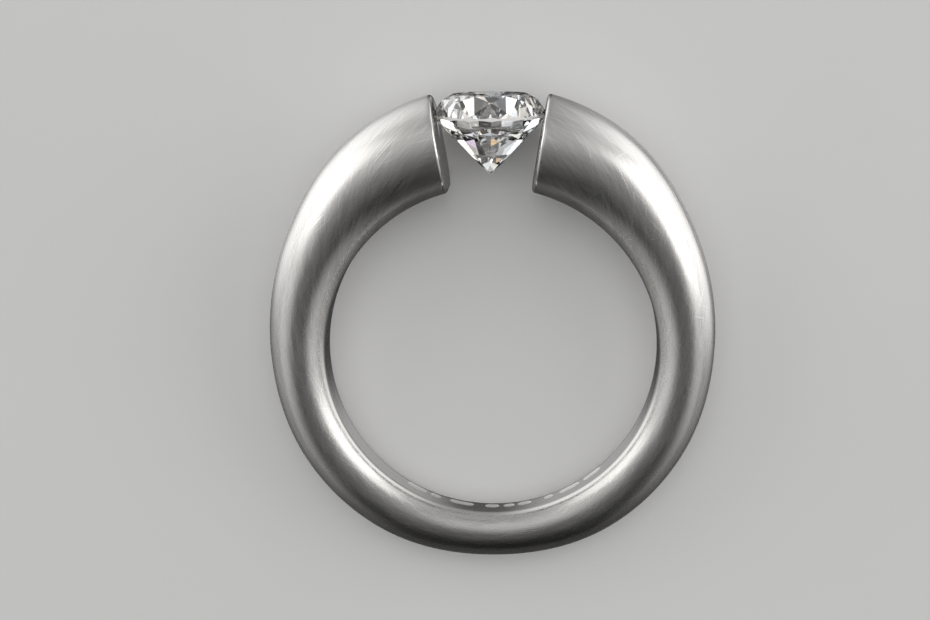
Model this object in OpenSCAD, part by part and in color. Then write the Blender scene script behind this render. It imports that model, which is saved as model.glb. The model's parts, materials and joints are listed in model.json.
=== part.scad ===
// Tension set ring: an open band whose two thick ends hold a round brilliant by its girdle.
// It lies on its side. The axis of the finger hole is near +Z and the stone points along +Y.
// The origin is the middle of the finger hole. All lengths are in millimetres.

/* [Finger hole] */
// Inside diameter of the band
bore_d = 17; // [14:0.1:22]

/* [Band] */
// Thickness of the metal at the base, opposite the stone
base_t = 2.45; // [1.8:0.05:3.4]
// Thickness of the metal at the top, where the two ends would meet
top_t = 4.95; // [4.6:0.05:6.5]
// Width of the band along the finger, at the base
base_w = 3.2; // [2.2:0.1:4.4]
// Width of the band along the finger, at the top
top_w = 6; // [5.6:0.1:7.5]
// Depth of the oval section that the finger hole cuts away
flat_cut = 0.25; // [0.1:0.01:0.45]
// Fullness of the section: 2 is an ellipse, more is squarer
fullness = 2.15; // [2:0.05:2.6]

/* [Ends] */
// Height of the girdle above the finger hole
seat_h = 3.5; // [3.2:0.05:4]
// Slope of each end face, away from the plane midway between the ends, in degrees
face_slope = 10; // [4:0.5:14]
// Depth that the girdle goes into each end face
grip = 0.11; // [0.06:0.01:0.2]
// Clearance between the girdle and its groove
seat_gap = 0.02; // [0.01:0.005:0.04]

/* [Stone] */
// Diameter of the girdle
stone_d = 5.7; // [4.6:0.1:5.9]
// Height of the girdle's rim, where it is widest
girdle_h = 0.22; // [0.14:0.01:0.35]
// Height of the crown above the girdle
crown_h = 0.95; // [0.6:0.01:1.2]
// Depth of the pavilion below the girdle
pavilion_h = 2.88; // [2.2:0.01:2.95]
// Width of the table from corner to corner
table_d = 3.9; // [3:0.05:4.1]
// Share of the crown's slope that the star facets take
star_share = 0.57; // [0.4:0.01:0.65]
// Share of the pavilion's radius that the lower halves take
lower_share = 0.78; // [0.65:0.01:0.88]

/* [Hidden] */

// Share of the way from the base size to the top size, one row for each step round the band
ANGLE = 0;
THICK = 1;
WIDE = 2;
growth = [
    [  0, 1.00, 1.00],
    [ 30, 0.86, 0.92],
    [ 60, 0.43, 0.71],
    [ 90, 0.18, 0.45],
    [120, 0.13, 0.20],
    [150, 0.09, 0.04],
    [180, 0.00, 0.00]
];
growth_step = growth[1][ANGLE];

bore_r = bore_d / 2;
stations = 84;          // sections round the band
outer_sides = 27;       // corners of each section outside the finger hole
sides = outer_sides + 2; // with the two that close it inside the hole
spare = flat_cut / 6;   // depth of the section's last outer corners inside the hole
inner_r = bore_r - base_t / 3;
girdle_y = bore_r + seat_h;
stone_r = stone_d / 2;
half_gap = stone_r - grip; // from the middle of the stone to an end face, at the girdle
far = 2 * (bore_r + top_t);

// The band

// Smooth curve through four values, from b at f = 0 to c at f = 1
function curve(a, b, c, d, f) =
    b + f * ((c - a) + f * ((2 * a - 5 * b + 4 * c - d) + f * (3 * (b - c) + d - a))) / 2;

// Share in a column of the table at an angle from the top, the same on both sides of the ring
function grown(column, angle) =
    let (
        turn = (angle > 180 ? 360 - angle : angle) / growth_step,
        i = min(floor(turn), len(growth) - 2),
        last = len(growth) - 1,
        after = i + 2 > last ? last - 1 : i + 2
    )
    curve(growth[abs(i - 1)][column], growth[i][column], growth[i + 1][column], growth[after][column], turn - i);

function thickness(angle) = base_t + (top_t - base_t) * grown(THICK, angle);
function width(angle) = base_w + (top_w - base_w) * grown(WIDE, angle);
function half_oval(angle) = (thickness(angle) + flat_cut) / 2;
function oval_radius(angle) = bore_r + thickness(angle) - half_oval(angle);

// Cosine or sine, pushed outwards by the fullness of the section
function full(value) = sign(value) * pow(abs(value), 2 / fullness);

// Turn round the section, from its outermost point, at which the oval goes into the finger hole
function crease(angle) =
    acos(-pow((oval_radius(angle) - bore_r + spare) / half_oval(angle), fullness / 2));

// Corner of the section at an angle round the ring
function skin(angle, corner) =
    let (
        outer = corner < outer_sides,
        last = crease(angle),
        turn = outer ? last * (2 * corner / (outer_sides - 1) - 1) : corner == outer_sides ? last : -last,
        reach = outer ? oval_radius(angle) + half_oval(angle) * full(cos(turn)) : inner_r
    )
    [reach * sin(angle), reach * cos(angle), width(angle) / 2 * full(sin(turn))];

// Whole hoop of oval sections, before the finger hole and the gap are cut
module hoop() {
    points = [
        for (i = [0 : stations - 1], j = [0 : sides - 1])
            skin(360 * i / stations, j)
    ];
    function corner(i, j) = (i % stations) * sides + j % sides;
    polyhedron(
        points = points,
        faces = [
            for (i = [0 : stations - 1], j = [0 : sides - 1], half = [0, 1])
                half == 0
                    ? [corner(i, j), corner(i + 1, j), corner(i + 1, j + 1)]
                    : [corner(i, j), corner(i + 1, j + 1), corner(i, j + 1)]
        ],
        convexity = 6
    );
}

module finger_hole() {
    cylinder(h = far, r = bore_r, center = true, $fn = 128);
}

// Half the width of the gap between the ends at a height above the middle of the ring
function gap_at(y) = half_gap + (y - girdle_y) * tan(face_slope);

// Space between the two end faces
module gap() {
    low = bore_r / 2;
    linear_extrude(height = far, center = true)
        polygon([
            [-gap_at(low), low], [gap_at(low), low],
            [gap_at(far), far], [-gap_at(far), far]
        ]);
}

// Groove in both end faces, the shape of the stone's edge with its clearance
module girdle_groove() {
    reach = stone_r + seat_gap;
    half_rim = rim + seat_gap;
    at_stone()
        rotate_extrude($fn = 128)
            polygon([
                [0, -half_rim - lower_slope * reach], [reach, -half_rim],
                [reach, half_rim], [0, half_rim + upper_slope * reach]
            ]);
}

module band() {
    color([0.78, 0.77, 0.75])
        at_rest()
            difference() {
                hoop();
                finger_hole();
                gap();
                girdle_groove();
            }
}

// The stone, in its own frame: the table faces +Z and the origin is in the girdle's middle plane

table_r = table_d / 2;
girdle_steps = 4;                // flats of the girdle between two facet corners
facet_turn = 22.5;               // from a main facet to the next star facet
table_edge_r = table_r * cos(facet_turn);
star_r = table_edge_r + star_share * (stone_r - table_edge_r);
lower_r = (1 - lower_share) * stone_r;
rim = girdle_h / 2;

// Heights of the main facets over the corners that they share
star_z = rim + crown_h - (star_r * cos(facet_turn) - table_r) * crown_h / (stone_r - table_r);
lower_z = -rim - pavilion_h * (1 - lower_r * cos(facet_turn) / stone_r);

// Slopes of the edges between the halves, the steepest lines up and down from the girdle
upper_slope = (star_z - rim) / (stone_r - star_r);
lower_slope = (-rim - lower_z) / (stone_r - lower_r);

function polar(radius, angle, z) = [radius * cos(angle), radius * sin(angle), z];

// Height at which a plane through three points meets an upright line
function plane_height(p, q, r, at) =
    let (n = cross(q - p, r - p)) p[2] - (n[0] * (at[0] - p[0]) + n[1] * (at[1] - p[1])) / n[2];

// Point on the girdle's upper (side = 1) or lower (side = -1) edge, step by step round the stone
function girdle_point(step, side) =
    let (
        angle = facet_turn * step / girdle_steps,
        first = facet_turn * floor(step / girdle_steps),
        second = first + facet_turn,
        odd = floor(step / girdle_steps) % 2,
        inner_angle = odd == 1 ? first : second,
        inner = side > 0 ? polar(star_r, inner_angle, star_z) : polar(lower_r, inner_angle, lower_z),
        at = polar(stone_r, angle, 0)
    )
    [at[0], at[1],
     plane_height(polar(stone_r, first, side * rim), polar(stone_r, second, side * rim), inner, at)];

// Round brilliant: a table, 8 stars, 8 mains and 16 halves above, 16 halves and 8 mains below
module brilliant() {
    steps = 16 * girdle_steps;
    table = 0;
    stars = 8;
    upper = 16;
    lower = upper + steps;
    lows = lower + steps;
    culet = lows + 8;
    points = concat(
        [for (k = [0 : 7]) polar(table_r, 45 * k, rim + crown_h)],
        [for (k = [0 : 7]) polar(star_r, 45 * k + facet_turn, star_z)],
        [for (s = [0 : steps - 1]) girdle_point(s, 1)],
        [for (s = [0 : steps - 1]) girdle_point(s, -1)],
        [for (k = [0 : 7]) polar(lower_r, 45 * k + facet_turn, lower_z)],
        [[0, 0, -rim - pavilion_h]]
    );
    function next(k) = (k + 1) % 8;
    function before(k) = (k + 7) % 8;
    function edge(start, s) = start + (s + steps) % steps;
    function mains(k) = 2 * girdle_steps * k;
    polyhedron(
        points = points,
        faces = concat(
            [[for (k = [7 : -1 : 0]) table + k]],
            [for (k = [0 : 7]) [table + k, table + next(k), stars + k]],
            [for (k = [0 : 7]) [table + k, stars + k, edge(upper, mains(k)), stars + before(k)]],
            [for (k = [0 : 7])
                concat([stars + k], [for (s = [girdle_steps : -1 : 0]) edge(upper, mains(k) + s)])],
            [for (k = [0 : 7])
                concat([stars + k],
                       [for (s = [2 * girdle_steps : -1 : girdle_steps]) edge(upper, mains(k) + s)])],
            [for (s = [0 : steps - 1])
                [edge(upper, s), edge(upper, s + 1), edge(lower, s + 1), edge(lower, s)]],
            [for (k = [0 : 7])
                concat([lows + k], [for (s = [0 : girdle_steps]) edge(lower, mains(k) + s)])],
            [for (k = [0 : 7])
                concat([lows + k],
                       [for (s = [girdle_steps : 2 * girdle_steps]) edge(lower, mains(k) + s)])],
            [for (k = [0 : 7]) [culet, lows + before(k), edge(lower, mains(k)), lows + k]]
        ),
        convexity = 2
    );
}

module stone() {
    color([0.90, 0.94, 0.98, 0.6])
        at_rest()
            at_stone()
                rotate([0, 0, facet_turn])
                    brilliant();
}

// Places

// The stone's own frame, standing on the band between the ends
module at_stone() {
    translate([0, girdle_y, 0])
        rotate([-90, 0, 0])
            children();
}

// The ring lies on its wide ends and its slim base, so its axis leans by a few degrees
end_angle = atan(gap_at(girdle_y) / girdle_y);
end_y = oval_radius(end_angle) * cos(end_angle);
lean = atan((width(end_angle) - base_w) / 2 / (end_y + oval_radius(180)));

module at_rest() {
    rotate([lean, 0, 0])
        children();
}

band();
stone();
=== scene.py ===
# Tension set ring for rendering: a satin white-metal band with polished ends and a clear round brilliant
import json
import math

import bmesh
import bpy
from mathutils import Matrix, Vector


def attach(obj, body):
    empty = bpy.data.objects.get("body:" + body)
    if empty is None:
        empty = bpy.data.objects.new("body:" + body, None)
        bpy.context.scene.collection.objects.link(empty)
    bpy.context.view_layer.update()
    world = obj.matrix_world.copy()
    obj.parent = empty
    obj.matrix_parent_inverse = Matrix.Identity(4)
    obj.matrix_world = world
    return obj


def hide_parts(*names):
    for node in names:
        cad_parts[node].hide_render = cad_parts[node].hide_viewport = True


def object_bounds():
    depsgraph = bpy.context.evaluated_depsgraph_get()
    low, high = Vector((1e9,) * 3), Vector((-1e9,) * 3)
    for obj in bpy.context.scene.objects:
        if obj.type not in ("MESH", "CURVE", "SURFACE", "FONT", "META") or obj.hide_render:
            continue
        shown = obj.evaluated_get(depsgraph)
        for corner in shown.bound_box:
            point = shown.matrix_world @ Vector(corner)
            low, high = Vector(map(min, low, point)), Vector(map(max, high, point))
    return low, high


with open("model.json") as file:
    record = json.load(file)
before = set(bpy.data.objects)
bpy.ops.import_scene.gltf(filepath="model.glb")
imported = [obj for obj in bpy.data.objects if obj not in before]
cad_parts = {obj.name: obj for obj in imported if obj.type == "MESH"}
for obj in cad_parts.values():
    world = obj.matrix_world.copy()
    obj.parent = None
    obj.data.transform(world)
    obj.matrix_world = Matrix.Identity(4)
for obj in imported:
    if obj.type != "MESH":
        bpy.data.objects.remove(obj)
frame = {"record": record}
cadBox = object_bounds()
scene = bpy.context.scene
mm = 0.001

# the ring lies on its side: its own Y points at the stone, and its own Z is the axis of the finger hole
holeAxis = Vector(frame["record"]["mounts"][0]["axis"])
lean = math.atan2(-holeAxis.y, holeAxis.z)
laidDown = Matrix.Rotation(lean, 4, "X")


# Camera

view = {
    "turn": 1.8,          # degrees to the right of the ring's axis
    "rise": 11.7,         # degrees from the axis towards the stone
    "roll": -0.575,       # degrees
    "distance": 100 * mm,
    "lens": 75.19, "sensor": 36,
    "shift": (-0.0293, 0.0418),
    "clip": (0.005, 20),
}


def makeCamera():
    turn, rise, roll = (math.radians(view[name]) for name in ("turn", "rise", "roll"))
    back = Vector((math.sin(turn) * math.cos(rise), math.sin(rise), math.cos(turn) * math.cos(rise)))
    right = Vector((math.cos(turn), 0, -math.sin(turn)))
    up = back.cross(right)
    tiltedRight = right * math.cos(roll) + up * math.sin(roll)
    tiltedUp = up * math.cos(roll) - right * math.sin(roll)
    facing = Matrix((tiltedRight, tiltedUp, back)).transposed().to_4x4()
    camera = bpy.data.objects.new("camera", bpy.data.cameras.new("camera"))
    scene.collection.objects.link(camera)
    camera.matrix_world = laidDown @ Matrix.Translation(back * view["distance"]) @ facing
    camera.data.lens = view["lens"]
    camera.data.sensor_width = view["sensor"]
    camera.data.shift_x, camera.data.shift_y = view["shift"]
    camera.data.clip_start, camera.data.clip_end = view["clip"]
    scene.camera = camera


makeCamera()
print("camera set")


# Shader maths: one socket, so that sums of sockets read as sums
class Wire:
    def __init__(self, tree, socket=None):
        self.tree, self.socket = tree, socket

    def node(self, kind, settings, sockets, output=0):
        made = self.tree.nodes.new("ShaderNode" + kind)
        for name, value in settings.items():
            setattr(made, name, value)
        for name, value in sockets.items():
            if isinstance(value, Wire):
                self.tree.links.new(value.socket, made.inputs[name])
            else:
                made.inputs[name].default_value = value
        return Wire(self.tree, made.outputs[output])

    def maths(self, operation, *values):
        return self.node("Math", {"operation": operation}, dict(enumerate(values)))

    def __add__(self, other):
        return self.maths("ADD", self, other)

    __radd__ = __add__

    def __mul__(self, other):
        return self.maths("MULTIPLY", self, other)

    __rmul__ = __mul__

    def __sub__(self, other):
        return self.maths("SUBTRACT", self, other)

    def __rsub__(self, other):
        return self.maths("SUBTRACT", other, self)

    def __truediv__(self, other):
        return self.maths("DIVIDE", self, other)

    def __neg__(self):
        return self.maths("MULTIPLY", self, -1.0)

    def __abs__(self):
        return self.maths("ABSOLUTE", self)

    def lessOf(self, other):
        return self.maths("MINIMUM", self, other)

    def moreOf(self, other):
        return self.maths("MAXIMUM", self, other)

    def lengthWith(self, other):  # of the arrow with these two components
        return self.maths("SQRT", self * self + other * other)

    def ease(self, low, high):  # 0 below low, 1 above high, smooth between
        return self.node("MapRange", {"interpolation_type": "SMOOTHSTEP"},
                         {"Value": self, "From Min": low, "From Max": high})

    def between(self, low, high, soft):  # 1 from low to high, with edges this soft
        return self.ease(low - soft, low + soft) * (1 - self.ease(high - soft, high + soft))

    def parts(self):
        split = self.node("SeparateXYZ", {}, {0: self})
        return [Wire(self.tree, output) for output in split.socket.node.outputs]

    def joined(self, x, y, z):
        return self.node("CombineXYZ", {}, {0: x, 1: y, 2: z})

    def blend(self, first, second):  # colours, by this wire as the factor
        return self.node("Mix", {"data_type": "RGBA"}, {0: self, 6: first, 7: second}, 2)

    def lighting(self, colour):  # a colour times this wire
        return self.node("VectorMath", {"operation": "SCALE"}, {0: colour, "Scale": self})


def newMaterial(name):
    material = bpy.data.materials.new(name)
    material.use_nodes = True
    material.node_tree.nodes.clear()
    return material, Wire(material.node_tree)


def showShader(owner, shader, output="OutputMaterial"):
    last = owner.node_tree.nodes.new("ShaderNode" + output)
    owner.node_tree.links.new(shader.socket, last.inputs["Surface"])


def finishMesh(bm, name):
    mesh = bpy.data.meshes.new(name)
    bm.to_mesh(mesh)
    bm.free()
    piece = bpy.data.objects.new(name, mesh)
    scene.collection.objects.link(piece)
    return piece


# Lamps: two large softboxes beside the stone, and a soft top light for the floor

softboxes = {
    # turn from the stone's direction, height above the floor, distance, width, height, radiance and tint
    "keyLeft": (-59, 22, 0.30, 0.22, 0.21, 0.74, (1.0, 0.985, 0.96)),
    "keyRight": (72, 26, 0.30, 0.24, 0.26, 0.92, (1.0, 0.99, 0.975)),
}
topLight = {"place": (0, 0.05, 0.5), "size": 0.5, "radiance": 1.15}


def makeLight(name, place, wide, tall, radiance, tint):  # turned to the middle of the ring
    light = bpy.data.lights.new(name, "AREA")
    light.shape = "RECTANGLE"
    light.size, light.size_y = wide, tall
    light.energy = radiance * math.pi * wide * tall
    light.color = tint
    lamp = bpy.data.objects.new(name, light)
    scene.collection.objects.link(lamp)
    lamp.matrix_world = Matrix.Translation(place) @ (-place).to_track_quat("-Z", "Y").to_matrix().to_4x4()
    return lamp


def makeLamps():
    for name, (turn, height, distance, wide, tall, radiance, tint) in softboxes.items():
        turn, height = math.radians(turn), math.radians(height)
        place = distance * Vector((math.sin(turn) * math.cos(height), math.cos(turn) * math.cos(height),
                                   math.sin(height)))
        makeLight(name, place, wide, tall, radiance, tint).visible_transmission = False
    size = topLight["size"]
    top = makeLight("topLight", Vector(topLight["place"]), size, size, topLight["radiance"], (1, 1, 1))
    top.visible_glossy = top.visible_transmission = False  # it lights the floor and nothing mirrors it


# Room, by the direction that a ray leaves in: a soft dome in front of the ring, its sides and one patch of
# fill. Each span says where its part begins and where it is full
surroundings = {
    "dark": 0.012, "front": 0.42, "sides": 0.36,
    "overhead": 0.38,     # share that the dome loses straight above
    "frontSpan": (-0.84, 0.35), "sideSpan": (0.3, 0.9),
    "fill": 0.33, "fillFrom": (-0.145, 0.397, 0.906), "fillSpan": (0.86, 1.0),
    "horizonSpan": (-0.03, 0.03),
    "seen": (0.60, 0.60, 0.595, 1),  # by the camera
}

# The same room as polished things see it, where the softboxes reach below the table's edge. Each panel has
# its turns from the stone's direction, its heights above the horizon, the softness of its upper and lower
# edges, all in degrees, and its radiance
mirrored = {
    "dark": 0.012, "front": 0.36, "sides": 0.18,
    "frontSpan": (-0.85, 0.5), "frontHeight": (-1.0, -0.7),
    "sideSpan": (0.3, 0.9), "sideHeight": (-0.8, -0.4),
    "hole": 0.42,         # glow on the wall of the finger hole, to the left and right
    "holeSide": (0.05, 0.2), "holeSpan": (-0.13, 0.03), "holeDepth": (-0.94, -0.84),
    "softTurn": 16,
    "panels": ((-86, -16, -54, 30, 13, 0.85), (30, 98, -46, 30, 6, 0.80)),
}

# And as the rays inside the stone see it
throughStone = {
    "dark": 0.05, "horizon": 0.65, "horizonHeights": (-22, 18, 4), "softTurn": 3,
    "panels": (
        (-112, -50, -53, -18, 3, 2.1), (45, 118, -53, -18, 3, 2.1),
        (-82, -22, -80, -53, 3, 0.6), (38, 80, -80, -53, 3, 0.6),
        (-135, -112, -66, -40, 3, 1.0), (118, 160, -62, -40, 3, 1.0),
        (-110, -35, 12, 60, 3, 1.4), (35, 115, 12, 70, 3, 1.5), (-30, 30, 12, 45, 3, 1.2),
        (130, 190, 12, 45, 3, 1.3), (-190, -130, 12, 45, 3, 1.3),
    ),
    "cool": (0.93, 0.97, 1.0, 1), "warm": (1.0, 0.96, 0.90, 1), "tintSpan": (-0.6, 0.6),  # left and right
    # small coloured glints: turn, height, spread and light
    "glints": (
        (112, -71, 6, (0.30, 0.55, 0.95, 1)), (-133, -70, 6, (0.30, 0.55, 0.95, 1)),
        (50, -70, 12, (1.05, 0.85, 1.10, 1)), (30, -80, 8, (0.85, 0.55, 0.78, 1)),
        (72, -78, 8, (0.95, 0.78, 0.98, 1)), (124, -74, 6, (0.90, 0.56, 0.22, 1)),
        (-60, -74, 11, (1.15, 0.70, 0.25, 1)),
    ),
    "glintEdge": (0.6, 1.2),  # shares of the spread at which a glint is whole and gone
}


def insideStone(start):  # 1 for the rays that have gone through a facet
    return start.node("LightPath", {}, {}, "Transmission Depth").ease(0.2, 0.8)


def panelLight(look, turn, height):
    return sum(turn.between(left, right, look["softTurn"]) * height.between(low, high, soft) * radiance
               for left, right, low, high, soft, radiance in look["panels"])


def roomAbove(x, y, z):  # above the horizon
    fromX, fromY, fromZ = surroundings["fillFrom"]
    overhead = 1 - surroundings["overhead"] * z * z
    front = surroundings["front"] * y.ease(*surroundings["frontSpan"]) * overhead
    sides = surroundings["sides"] * abs(x).ease(*surroundings["sideSpan"])
    fill = surroundings["fill"] * (z * fromZ + y * fromY + x * fromX).ease(*surroundings["fillSpan"])
    return surroundings["dark"] + front + sides + fill


def roomBelow(x, y, z, turn, height):  # below the horizon, past the floor
    front = mirrored["front"] * y.ease(*mirrored["frontSpan"]) * z.ease(*mirrored["frontHeight"])
    sides = mirrored["sides"] * abs(x).ease(*mirrored["sideSpan"]) * z.ease(*mirrored["sideHeight"])
    hole = mirrored["hole"] * abs(x).ease(*mirrored["holeSide"]) * y.ease(*mirrored["holeSpan"])
    deep = 1 - z.ease(*mirrored["holeDepth"])
    return mirrored["dark"] + front + sides + panelLight(mirrored, turn, height) + hole * deep


def stoneLight(x, turn, height):  # a colour
    horizon = throughStone["horizon"] * height.between(*throughStone["horizonHeights"])
    level = throughStone["dark"] + horizon.moreOf(panelLight(throughStone, turn, height))
    tint = x.ease(*throughStone["tintSpan"]).blend(throughStone["cool"], throughStone["warm"])
    colour = level.lighting(tint)
    whole, gone = throughStone["glintEdge"]
    for middle, above, spread, light in throughStone["glints"]:
        far = abs(turn - middle) + abs(height - above)
        colour = (1 - far.ease(spread * whole, spread * gone)).blend(colour, light)
    return colour


def makeRoom():
    world = bpy.data.worlds.new("studio")
    scene.world = world
    world.use_nodes = True
    world.node_tree.nodes.clear()
    start = Wire(world.node_tree)
    x, y, z = start.node("TexCoord", {}, {}, "Generated").parts()
    turn = x.maths("ARCTAN2", x, y) * (180 / math.pi)
    height = z.maths("ARCSINE", z) * (180 / math.pi)
    below = 1 - z.ease(*surroundings["horizonSpan"])
    room = roomAbove(x, y, z) * (1 - below) + roomBelow(x, y, z, turn, height) * below
    light = insideStone(start).blend(start.joined(room, room, room), stoneLight(x, turn, height))
    seen = start.node("LightPath", {}, {}, "Is Camera Ray")
    tone = seen.blend(light, surroundings["seen"])
    showShader(world, start.node("Background", {}, {"Color": tone, "Strength": 1.0}), "OutputWorld")


# Floor: plain, pale and matt. Rays inside the stone pass through it, and most of the mirrored ones

floorLook = {
    "side": 3.0,
    "drop": 0.002 * mm,   # below the ring
    "pale": (0.72, 0.72, 0.715, 1), "mottled": (0.7092, 0.7092, 0.704275, 1),
    "mottle": 60.0,       # waves to the metre
    "roughness": 0.62, "shine": 0.25,
    "cleared": 0.92,      # share of the mirrored rays
}


def makeFloor():
    bm = bmesh.new()
    bmesh.ops.create_grid(bm, x_segments=1, y_segments=1, size=floorLook["side"] / 2)
    bmesh.ops.translate(bm, verts=bm.verts, vec=(0, 0, cadBox[0][2] - floorLook["drop"]))
    floor = finishMesh(bm, "floor")
    material, start = newMaterial("paleFloor")
    place = start.node("TexCoord", {}, {}, "Object")
    mottle = start.node("TexNoise", {}, {"Vector": place, "Scale": floorLook["mottle"], "Detail": 3.0})
    colour = mottle.ease(0.3, 0.7).blend(floorLook["pale"], floorLook["mottled"])
    matt = start.node("BsdfPrincipled", {}, {"Base Color": colour, "Roughness": floorLook["roughness"],
                                             "Specular IOR Level": floorLook["shine"]})
    glossy = start.node("LightPath", {}, {}, "Is Glossy Ray")
    clear = insideStone(start).moreOf(glossy * floorLook["cleared"])
    empty = start.node("BsdfTransparent", {}, {})
    showShader(material, start.node("MixShader", {}, {0: clear, 1: matt, 2: empty}))
    floor.data.materials.append(material)


makeLamps()
makeRoom()
makeFloor()
print("studio lit")


# Stone's sizes, which the groove in the band follows, in its own frame with the table facing +Z

stone = {
    "radius": 2.85, "rim": 0.11, "crown": 0.947, "pavilion": 2.88, "table": 1.95,
    "starShare": 0.57, "lowerShare": 0.78,
    "girdleSides": 64,
    "turn": 25.5,         # degrees on its own axis
    "clearance": 0.02,    # round the girdle, in its groove
    "index": 2.418,       # of refraction
    "frost": 0.35,        # roughness of the girdle
    "frostCover": 0.85, "frostColour": (0.95, 0.935, 0.915, 1),  # its share of matt white
}
facetTurn = 22.5          # degrees from a main facet to the next star facet


def facetTips():  # radius and height of the tips of the star facets and of the lower halves
    half = math.cos(math.radians(facetTurn))
    radius, rim, table = stone["radius"], stone["rim"], stone["table"]
    starRadius = table * half + stone["starShare"] * (radius - table * half)
    starHeight = rim + stone["crown"] - (starRadius * half - table) * stone["crown"] / (radius - table)
    lowRadius = (1 - stone["lowerShare"]) * radius
    lowHeight = -rim - stone["pavilion"] * (1 - lowRadius * half / radius)
    return starRadius, starHeight, lowRadius, lowHeight


# Band

band = {
    "holeRadius": 8.5,
    "baseThick": 2.443, "topThick": 4.946,
    "baseWide": 3.182, "topWide": 5.995,
    "flatCut": 0.25,      # depth of the oval section that the finger hole cuts away
    "fullness": 2.15,     # 2 is an ellipse
    "girdleHeight": 12.0, "halfGap": 2.74, "faceSlope": 10,
    # shares of the growth from base to top, one for each step from the top
    "shareStep": 30,
    "thickShares": (1, 0.86, 0.43, 0.18, 0.13, 0.09, 0),
    "wideShares": (1, 0.92, 0.71, 0.45, 0.20, 0.04, 0),
    "creaseRound": 0.34,  # between the outside and the finger hole
    "rimRound": 0.19,     # polished edge round each end
    "endInset": 0.04,     # of the fan that fills each end
    "grooveDepth": 0.6,
    "stations": 200, "outerSides": 73, "roundSides": 5, "wallSides": 9, "rimSides": 4, "grooveSides": 192,
    # the even hoop that is shaped into the band, and the middle radii by which its grain is laid out
    "hoopRadius": 10, "hoopHalf": 2, "hoopStart": 13.0,
    "grainRadius": 10.5, "grainHalf": 2.0,
}


def grown(shares, angle):  # a smooth curve through the shares
    step = band["shareStep"]
    i = min(int(angle / step), len(shares) - 2)
    f = angle / step - i
    last = len(shares) - 1
    a, b, c, d = shares[abs(i - 1)], shares[i], shares[i + 1], shares[last - 1 if i + 2 > last else i + 2]
    return b + f * ((c - a) + f * ((2 * a - 5 * b + 4 * c - d) + f * (3 * (b - c) + d - a))) / 2


def full(value):
    return math.copysign(abs(value) ** (2 / band["fullness"]), value)


def ovalAt(angle):  # half thickness, half width and middle radius of the section, at degrees from the top
    thick = band["baseThick"] + (band["topThick"] - band["baseThick"]) * grown(band["thickShares"], angle)
    wide = band["baseWide"] + (band["topWide"] - band["baseWide"]) * grown(band["wideShares"], angle)
    half = (thick + band["flatCut"]) / 2
    return half, wide / 2, band["holeRadius"] + thick - half


def sectionPoint(corner, angle):  # radius and height of one corner of the section
    half, halfWide, middle = ovalAt(angle)

    def onOval(turn):
        return Vector((middle + half * full(math.cos(turn)), halfWide * full(math.sin(turn))))

    crease = math.acos(-((middle - band["holeRadius"]) / half) ** (band["fullness"] / 2))
    last = crease - band["creaseRound"] / math.hypot(half * math.sin(crease), halfWide * math.cos(crease))
    outer, rounds, walls = band["outerSides"], band["roundSides"], band["wallSides"]
    if corner < outer:
        return onOval(last * (2 * corner / (outer - 1) - 1))
    corner -= outer
    upper = corner < rounds + walls / 2
    if not upper:
        corner = 2 * rounds + walls - 1 - corner
    start = onOval(last)
    slope = start - onOval(last - 0.01)  # the way that the oval runs there
    tip = start + slope * ((band["holeRadius"] - start.x) / slope.x)
    onWall = tip - Vector((0, band["creaseRound"]))
    if corner < rounds:  # the round between the outside and the finger hole, smooth into both
        share = (corner + 1) / (rounds + 1)
        point = start * (1 - share) ** 2 + tip * 2 * share * (1 - share) + onWall * share ** 2
    else:
        point = Vector((tip.x, onWall.y * (1 - 2 * (corner - rounds) / (walls - 1))))
    return point.x, point.y if upper else -point.y


def endAngle(radius):  # where a circle of this radius meets the plane of an end face
    slope = math.radians(band["faceSlope"])
    offset = band["halfGap"] * math.cos(slope) - band["girdleHeight"] * math.sin(slope)
    return band["faceSlope"] + math.degrees(math.asin(offset / radius))


def spinHoop(bm, corners):  # an even open hoop, with a number on each corner of its section
    sides = band["outerSides"] + 2 * band["roundSides"] + band["wallSides"]
    section = bmesh.ops.create_circle(bm, segments=sides, radius=band["hoopHalf"])["verts"]
    for number, vert in enumerate(section):
        vert[corners] = number
    firstTurn = math.radians(band["hoopStart"])
    bmesh.ops.rotate(bm, verts=section, cent=(0, 0, 0), matrix=Matrix.Rotation(math.pi / 2, 3, "Y"))
    bmesh.ops.translate(bm, verts=section, vec=(0, band["hoopRadius"], 0))
    bmesh.ops.rotate(bm, verts=section, cent=(0, 0, 0), matrix=Matrix.Rotation(-firstTurn, 3, "Z"))
    bmesh.ops.spin(bm, geom=section + list(bm.edges), cent=(0, 0, 0), axis=(0, 0, -1),
                   angle=math.radians(360 - 2 * band["hoopStart"]), steps=band["stations"], use_merge=False)


def shapeHoop(bm, corners):  # it takes the real sections, and its last stations slide into the end faces
    for vert in bm.verts:
        around = math.degrees(math.atan2(vert.co.x, vert.co.y)) % 360
        along = (around - 180) / (180 - band["hoopStart"])
        angle = 180 - abs(along) * (180 - band["hoopStart"])
        for _ in range(5):  # the radius and the angle settle together
            radius, height = sectionPoint(vert[corners], min(max(angle, 0), 180))
            angle = 180 - abs(along) * (180 - endAngle(radius))
        turn = math.radians(angle if along < 0 else 360 - angle)
        vert.co = (radius * math.sin(turn), radius * math.cos(turn), height)


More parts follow.
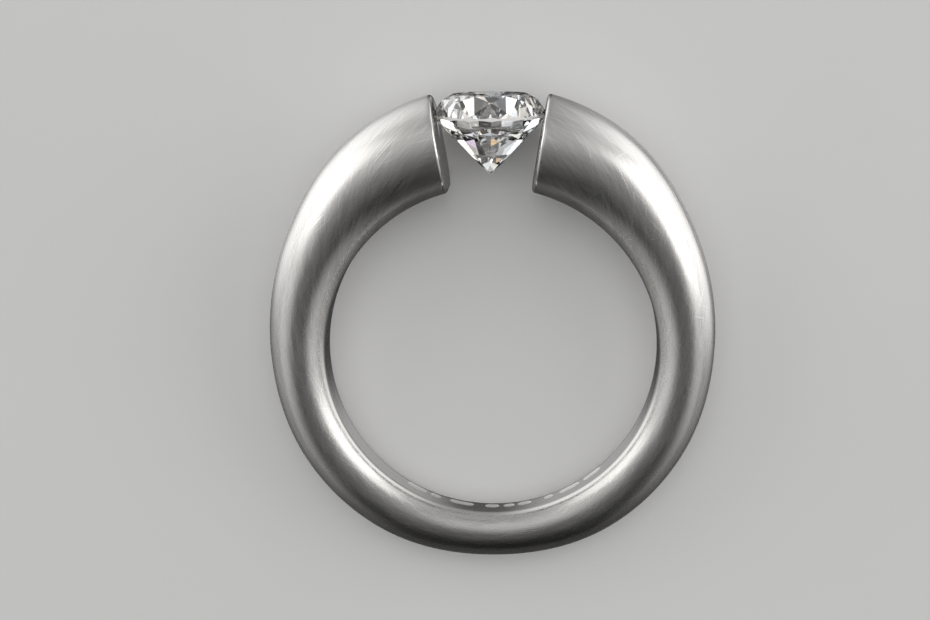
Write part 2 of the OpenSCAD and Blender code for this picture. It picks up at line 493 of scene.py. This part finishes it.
def closeEnds(bm):
    ends = bmesh.ops.edgeloop_fill(bm, edges=[edge for edge in bm.edges if edge.is_boundary])["faces"]
    rims = list(dict.fromkeys(edge for face in ends for edge in face.edges))  # each edge once
    bmesh.ops.bevel(bm, geom=rims, offset=band["rimRound"], offset_type="OFFSET", segments=band["rimSides"],
                    profile=0.5, affect="EDGES", material=-1)
    ends = sorted(bm.faces, key=lambda face: len(face.verts))[-2:]
    bmesh.ops.inset_individual(bm, faces=ends, thickness=band["endInset"])
    bmesh.ops.poke(bm, faces=ends)  # a plain fan, which the cut of the groove leaves closed


def layGrain(bm):  # millimetres along and across the band
    grain = bm.loops.layers.uv.new("grain")
    for face in bm.faces:
        face.smooth = True
        turns = []
        for loop in face.loops:
            x, y, z = loop.vert.co
            around = math.degrees(math.atan2(x, -y))
            middle = ovalAt(180 - abs(around))[2]
            turns.append((around, math.atan2(z, math.hypot(x, y) - middle)))
        wraps = max(turn for _, turn in turns) - min(turn for _, turn in turns) > math.pi
        for loop, (around, turn) in zip(face.loops, turns):
            if wraps and turn < 0:
                turn += 2 * math.pi
            loop[grain].uv = (math.radians(around) * band["grainRadius"], turn * band["grainHalf"])


def makeBand():
    bm = bmesh.new()
    corners = bm.verts.layers.int.new("corner")
    spinHoop(bm, corners)
    shapeHoop(bm, corners)
    closeEnds(bm)
    bmesh.ops.recalc_face_normals(bm, faces=bm.faces)
    layGrain(bm)
    return finishMesh(bm, "satinBand")


def makeGroove():  # the shape of the stone's edge with its clearance, cut into both end faces
    starRadius, starHeight, lowRadius, lowHeight = facetTips()
    up = (starHeight - stone["rim"]) / (stone["radius"] - starRadius)
    down = (-stone["rim"] - lowHeight) / (stone["radius"] - lowRadius)
    reach, rim = stone["radius"] + stone["clearance"], stone["rim"] + stone["clearance"]
    depth = band["grooveDepth"]
    bm = bmesh.new()
    profile = [(reach - depth, -rim - depth * down), (reach, -rim),
               (reach, rim), (reach - depth, rim + depth * up)]
    verts = [bm.verts.new((radius, height, 0)) for radius, height in profile]
    loop = [bm.edges.new((verts[i], verts[(i + 1) % 4])) for i in range(4)]
    bmesh.ops.spin(bm, geom=verts + loop, cent=(0, 0, 0), axis=(0, 1, 0), angle=2 * math.pi,
                   steps=band["grooveSides"], use_merge=True)
    bmesh.ops.recalc_face_normals(bm, faces=bm.faces)
    bmesh.ops.translate(bm, verts=bm.verts, vec=(0, band["girdleHeight"], 0))
    return finishMesh(bm, "groove")


def cutAway(piece, cutter):
    cut = piece.modifiers.new("groove", "BOOLEAN")
    cut.operation, cut.solver, cut.object = "DIFFERENCE", "EXACT", cutter
    mesh = bpy.data.meshes.new_from_object(piece.evaluated_get(bpy.context.evaluated_depsgraph_get()))
    piece.modifiers.clear()
    piece.data = mesh
    bpy.data.objects.remove(cutter)


bandPiece = makeBand()
cutAway(bandPiece, makeGroove())
bandPiece.data.transform(laidDown @ Matrix.Scale(mm, 4))
bandPiece.data.name = "satinBand"
print("band:", len(bandPiece.data.polygons), "faces")


# Satin metal, with lengths in millimetres

metal = {
    "colour": (0.80, 0.785, 0.765),
    "satin": 0.27,        # roughness of the brushed surface
    "polish": 0.13,       # roughness of the end faces and their rims
    "wall": 0.20,         # roughness inside the finger hole
    "wallSmooth": 0.8,    # share of the brushing that is missing there
    "leastRough": 0.06,
    # painted shade and reflection on the polished end faces: its colours, and how deep it goes
    "paintedFaceDark": (0.29, 0.27, 0.25, 1), "paintedFacePale": (0.52, 0.50, 0.475, 1), "faceDepth": (0.015, 0.06),
    "faceShadeStreaks": (88, 0.8, 9, 81.0), "faceBlend": (0.35, 0.7),
    "bareRound": (0.8, 1.3),  # distances from the stone's seat between which the painted shade of the face sets in
    "rimShare": (0.8, 1.25),  # shares of the rim's round over which the polish ends
    "wallDepth": (0.01, 0.10),  # past the finger hole
    "nearEnd": (0.4, 5.0),      # past an end face, where the metal is a little rougher and has a little painted shade
    # plain shallow bars inside the base: the middle and half the length of each, round the hole
    "bars": ((-4.15, 0.32), (-3.1, 0.02), (-1.7, 0.36), (-0.1, 0.10), (0.78, 0.02), (1.6, 0.10), (2.9, 0.0),
             (4.1, 0.34), (5.5, 0.30)),
    "barHeight": -0.35, "barHalf": 0.25, "barEdge": 0.03, "barLip": 0.09,
    # the strokes run round the band, and bend away past this distance from the base
    "straight": 13, "bend": 0.012,
    # strokes: turn in degrees, waves to the millimetre along and across, seed and share
    "fine": ((0, 0.42, 12, 1.7, 0.3), (-9, 0.5, 12, 9.1, 0.22), (13, 0.5, 12, 4.4, 0.22),
             (27, 0.6, 11, 14.6, 0.13), (-31, 0.6, 11, 17.2, 0.13)),
    "soft": ((4, 0.22, 4.2, 21.3, 0.5), (-16, 0.25, 5.0, 33.9, 0.3), (22, 0.25, 5.0, 37.7, 0.2)),
    # single marks: turn, waves along and across, seed, and where they set in
    "marks": ((-3, 0.3, 17, 41.0, (0.70, 0.78)), (20, 0.45, 16, 57.0, (0.71, 0.79)),
              (-24, 0.45, 16, 63.0, (0.71, 0.79)), (63, 0.6, 15, 71.0, (0.75, 0.83))),
    # waves along and across, and seed
    "cloud": (0.35, 0.8, 5.0), "dots": (0.3, 0.42, 8.0),
    "pitEdge": (0.014, 0.028), "pitDepth": 0.8,
    # what each of them does to the colour, the roughness and the relief
    "shade": {"soft": 0.30, "fine": 0.95, "cloud": 0.20, "marks": 0.14, "pits": 0.9,
              # the bars and their lips get painted glints, and the satin near the ends gets painted shade
              "bars": 0.25, "lip": 0.25, "nearEnd": 0.22,
              "base": 0.87, "top": 0.17, "topSpan": (-10, 6)},  # painted shade and light, from the darker base up to the lighter ends
    "grit": {"soft": 0.16, "fine": 0.20, "cloud": 0.10, "marks": 0.07, "bars": 0.3, "nearEnd": 0.12},
    "relief": {"fine": 1.2, "marks": 0.5, "pits": 2, "bars": 5},
    "bump": 0.55, "bumpDepth": 0.006 * mm,
}


def ringPlaces(start):  # millimetres in the ring's own frame, as it was before it was laid down
    x, y, z = start.node("TexCoord", {}, {}, "Object").parts()
    c, s = math.cos(lean) / mm, math.sin(lean) / mm
    return x / mm, y * c + z * s, z * c - y * s


def nearestBar(around, z):  # distance from the outline of the nearest bar, each with round ends
    outline = None
    for middle, half in metal["bars"]:
        past = (abs(around - middle) - half).moreOf(0.0)
        distance = past.lengthWith(z - metal["barHeight"]) - metal["barHalf"]
        outline = distance if outline is None else outline.lessOf(distance)
    return outline


def brushing(start, along, across):  # the wide soft strokes, the fine ones, the single marks, and the streaks of the painted shade on the end faces
    late = (abs(along) - metal["straight"]).moreOf(0.0)
    bent = across + late * late * metal["bend"]

    def strokes(turn, slow, fast, seed, detail=2.0):
        c, s = math.cos(math.radians(turn)), math.sin(math.radians(turn))
        place = start.joined((along * c + bent * s) * slow, (bent * c - along * s) * fast, seed)
        return start.node("TexNoise", {}, {"Vector": place, "Scale": 1.0, "Detail": detail,
                                           "Roughness": 0.62})

    soft, fine = (sum(strokes(*look) * share for *look, share in metal[name]) for name in ("soft", "fine"))
    marks = sum(strokes(*look, 0.0).ease(*edge) for *look, edge in metal["marks"]).lessOf(1.0)
    return soft, fine, marks, strokes(*metal["faceShadeStreaks"])


def makeMetal():
    material, start = newMaterial("satinMetal")
    x, y, z = ringPlaces(start)
    along, across, _ = start.node("TexCoord", {}, {}, "UV").parts()

    # where the polished ends, the wall of the finger hole and the seat of the stone are
    slope = math.radians(band["faceSlope"])
    seatHeight = y - band["girdleHeight"]
    depth = (abs(x) - band["halfGap"] - seatHeight * math.tan(slope)) * math.cos(slope)
    upper = y.ease(0.0, 1.0)
    polished = (1 - depth.ease(*(band["rimRound"] * share for share in metal["rimShare"]))) * upper
    atEnd = (1 - depth.ease(*metal["faceDepth"])) * upper
    nearEnd = (1 - depth.ease(*metal["nearEnd"])) * upper
    wall = 1 - x.lengthWith(y).ease(*(band["holeRadius"] + deep for deep in metal["wallDepth"]))
    nearStone = 1 - seatHeight.lengthWith(z).ease(*metal["bareRound"])
    satin = (1 - polished) * (1 - metal["wallSmooth"] * wall)

    outline = nearestBar(x.maths("ARCTAN2", x, -y) * band["holeRadius"], z)
    edge = metal["barEdge"]
    bars = (1 - outline.ease(-edge, edge)) * wall * (1 - upper)
    lip = (1 - abs(outline).ease(edge, metal["barLip"])) * wall * (1 - upper)

    soft, fine, marks, faceShadeStreaks = brushing(start, along, across)
    slow, fast, seed = metal["cloud"]
    place = start.joined(along * slow, across * fast, seed)
    cloud = start.node("TexNoise", {}, {"Vector": place, "Scale": 1.0, "Detail": 2.0})
    slow, fast, seed = metal["dots"]
    place = start.joined(along * slow, across * fast, seed)
    dots = start.node("TexVoronoi", {}, {"Vector": place, "Scale": 1.0})
    pits = (1 - dots.ease(*metal["pitEdge"])) * metal["pitDepth"]

    shade, grit, relief = metal["shade"], metal["grit"], metal["relief"]
    tone = 1 + ((soft - 0.5) * shade["soft"] + (fine - 0.5) * shade["fine"] + (cloud - 0.5) * shade["cloud"]
                + marks * shade["marks"] - pits * shade["pits"]) * satin
    # painted glints on the engraved bars and along their lips
    tone = tone + lip * shade["lip"] + bars * shade["bars"]
    # painted shade at the base, painted light towards the ends
    tone = tone * (shade["base"] + shade["top"] * y.ease(*shade["topSpan"]))
    # painted shade: the satin a little darker near the end faces
    tone = tone * (1 - shade["nearEnd"] * nearEnd * satin)
    # painted shade and reflection on the end faces: dark with paler streaks, kept off near the stone's seat
    paintedFaceShade = faceShadeStreaks.ease(*metal["faceBlend"]).blend(metal["paintedFaceDark"], metal["paintedFacePale"])
    colour = (atEnd * (1 - nearStone)).blend(tone.lighting(metal["colour"]), paintedFaceShade)

    rough = (metal["satin"] + (soft - 0.5) * grit["soft"] + (fine - 0.5) * grit["fine"]
             + (cloud - 0.5) * grit["cloud"] - marks * grit["marks"]) * satin
    rough = rough + metal["polish"] * polished + metal["wall"] * wall * (1 - polished) * metal["wallSmooth"]
    rough = rough + grit["nearEnd"] * nearEnd * satin + bars * grit["bars"]

    height = (fine * relief["fine"] + marks * relief["marks"] - pits * relief["pits"]) * satin
    bump = start.node("Bump", {}, {"Strength": metal["bump"], "Distance": metal["bumpDepth"],
                                   "Height": height - bars * relief["bars"]})
    roughness = rough.moreOf(metal["leastRough"])
    showShader(material, start.node("BsdfPrincipled", {}, {"Base Color": colour, "Metallic": 1.0,
                                                           "Roughness": roughness, "Normal": bump}))
    return material


bandPiece.data.materials.clear()
bandPiece.data.materials.append(makeMetal())
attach(bandPiece, "root")
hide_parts("band")
print("band brushed")


# Stone

def polar(radius, degrees, height):
    turn = math.radians(degrees)
    return Vector((radius * math.cos(turn), radius * math.sin(turn), height))


def grind(bm, a, b, c):  # takes off all that lies outside the plane through three points
    facing = (b - a).cross(c - a).normalized()
    facing = facing if facing.dot(a) > 0 else -facing
    cut = bmesh.ops.bisect_plane(bm, geom=[*bm.verts, *bm.edges, *bm.faces], dist=1e-6, plane_co=a,
                                 plane_no=facing, clear_outer=True)["geom_cut"]
    bmesh.ops.contextual_create(bm, geom=[part for part in cut if isinstance(part, bmesh.types.BMEdge)])


def makeStone():
    radius, rim, table = stone["radius"], stone["rim"], stone["table"]
    tableHeight, culet = rim + stone["crown"], Vector((0, 0, -rim - stone["pavilion"]))
    starRadius, starHeight, lowRadius, lowHeight = facetTips()
    bm = bmesh.new()
    bmesh.ops.create_cone(bm, cap_ends=True, segments=stone["girdleSides"], radius1=radius, radius2=radius,
                          depth=8)
    grind(bm, *(polar(table, 90 * k, tableHeight) for k in range(3)))
    for k in range(8):  # main facets
        turn = 2 * facetTurn * k
        above, below = polar(radius, turn, rim), polar(radius, turn, -rim)
        sideways = polar(1, turn + 90, 0)
        grind(bm, above, polar(table, turn, tableHeight), above + sideways)
        grind(bm, below, culet, below + sideways)
    for k in range(8):  # stars and halves
        turn = 2 * facetTurn * k
        middle, after = turn + facetTurn, turn + 2 * facetTurn
        star, low = polar(starRadius, middle, starHeight), polar(lowRadius, middle, lowHeight)
        grind(bm, polar(table, turn, tableHeight), polar(table, after, tableHeight), star)
        for first, second in ((turn, middle), (middle, after)):
            grind(bm, polar(radius, first, rim), polar(radius, second, rim), star)
            grind(bm, polar(radius, first, -rim), polar(radius, second, -rim), low)
    bmesh.ops.remove_doubles(bm, verts=bm.verts, dist=1e-5)
    bmesh.ops.recalc_face_normals(bm, faces=bm.faces)
    for face in bm.faces:
        face.smooth = False
        face.material_index = 1 if abs(face.normal.z) < 0.05 else 0  # the girdle is frosted
    place = laidDown @ Matrix.Scale(mm, 4) @ Matrix.Translation((0, band["girdleHeight"], 0))
    turned = Matrix.Rotation(math.radians(stone["turn"]), 4, "Z")
    place = place @ Matrix.Rotation(-math.pi / 2, 4, "X") @ turned
    bmesh.ops.transform(bm, matrix=place, verts=bm.verts)
    return finishMesh(bm, "brilliant")


def clearGlass(start, roughness):
    return start.node("BsdfGlass", {}, {"Color": (1, 1, 1, 1), "Roughness": roughness,
                                        "IOR": stone["index"]})


def makeGem():
    material, start = newMaterial("clearStone")
    showShader(material, clearGlass(start, 0.0))
    return material


def makeFrost():
    material, start = newMaterial("frostedGirdle")
    glass = clearGlass(start, stone["frost"])
    pale = start.node("BsdfDiffuse", {}, {"Color": stone["frostColour"]})
    showShader(material, start.node("MixShader", {}, {0: stone["frostCover"], 1: glass, 2: pale}))
    return material


stonePiece = makeStone()
stonePiece.data.materials.append(makeGem())
stonePiece.data.materials.append(makeFrost())
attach(stonePiece, "root")
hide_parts("stone")
print("stone:", len(stonePiece.data.polygons), "facets")


# Render settings that belong to the look

scene.view_settings.view_transform = "Standard"
scene.cycles.max_bounces = 20
scene.cycles.transmission_bounces = 20
scene.cycles.glossy_bounces = 8
scene.cycles.sample_clamp_indirect = 6
